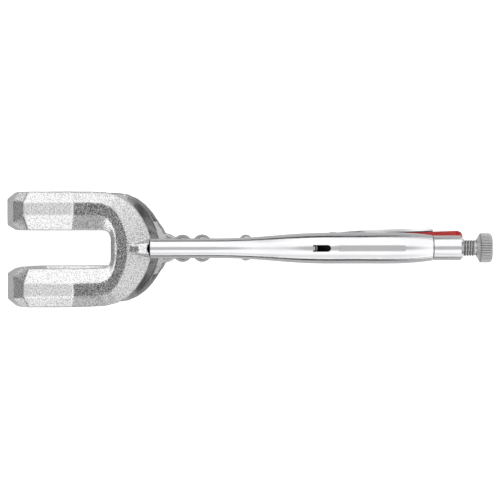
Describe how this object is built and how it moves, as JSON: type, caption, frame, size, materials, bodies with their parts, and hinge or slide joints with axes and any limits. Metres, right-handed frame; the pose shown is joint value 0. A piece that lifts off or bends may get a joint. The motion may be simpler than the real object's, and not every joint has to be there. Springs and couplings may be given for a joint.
{
  "type": "locking welding pliers",
  "caption": "Long self-grip pliers with U-shaped forged jaws, toggle-locked handles, a red release lever and a knurled adjusting screw.",
  "frame": {"origin": "middle of the overall box: half way along the tool, on its centre plane, on the clamping line between the jaws", "axes": "+X from the jaws to the adjusting screw, +Y along the pivots, +Z from the lower handle to the upper handle"},
  "size_m": [0.28, 0.0654, 0.08],
  "materials": {
    "bright_zinc_sheet": "bright polished zinc plate on folded steel sheet",
    "bright_zinc_turned": "bright zinc plate on turned steel",
    "blasted_forging": "blasted drop-forged steel with bright zinc plate",
    "bright_rivet": "bright zinc plate, domed by the closing tool",
    "pressed_steel": "zinc-plated strut with an even satin",
    "red_lever": "semi-gloss red coating",
    "bright_zinc_thread": "bright zinc plate on a rolled thread",
    "bright_zinc_knurl": "zinc plate on a pressed straight knurl",
    "spring_steel": "drawn spring wire"
  },
  "bodies": {
    "fixed_handle": {"upper_handle": "bright_zinc_sheet", "screw_collar": "bright_zinc_turned", "upper_jaw": "blasted_forging", "upper_jaw_rivet": "bright_rivet", "jaw_pivot_rivet": "bright_rivet", "opening_spring": "spring_steel"},
    "moving_jaw": {"lower_jaw": "blasted_forging", "handle_pivot_rivet": "bright_rivet"},
    "hand_lever": {"lower_handle": "bright_zinc_sheet", "link_rivet": "bright_rivet", "lever_rivet": "bright_rivet"},
    "link": {"toggle_link": "pressed_steel"},
    "release": {"release_lever": "red_lever"},
    "screw": {"adjusting_screw": "bright_zinc_thread"},
    "knob": {"knurled_knob": "bright_zinc_knurl"}
  },
  "joints": [
    {"name": "jaw_open", "type": "hinge", "parent": "fixed_handle", "child": "moving_jaw", "pos_m": [-0.0279, 0, 0], "axis": [0, -1, 0], "range_deg": [0, 24], "deforming": ["opening_spring"]},
    {"name": "handle_fold", "type": "hinge", "parent": "moving_jaw", "child": "hand_lever", "pos_m": [-0.0024, 0, -0.016], "axis": [0, -1, 0], "range_deg": [-61, 0]},
    {"name": "link_fold", "type": "hinge", "parent": "hand_lever", "child": "link", "pos_m": [0.0346, 0, -0.0009], "axis": [0, -1, 0], "range_deg": [0, 63]},
    {"name": "lever_press", "type": "hinge", "parent": "hand_lever", "child": "release", "pos_m": [0.049, 0, -0.011], "axis": [0, -1, 0], "range_deg": [0, 6]},
    {"name": "screw_feed", "type": "slide", "parent": "fixed_handle", "child": "screw", "axis": [1, 0, 0], "range_m": [0, 0.012]},
    {"name": "knob_turn", "type": "hinge", "parent": "screw", "child": "knob", "pos_m": [0.135, 0, 0.0115], "axis": [1, 0, 0], "range_deg": [0, 2880]}
  ],
  "couplings": [
    {"joint": "handle_fold", "follows": "jaw_open", "ratio": -2.52},
    {"joint": "link_fold", "follows": "jaw_open", "ratio": 2.6},
    {"joint": "knob_turn", "follows": "screw_feed", "rad_per_m": 4188.8}
  ]
}
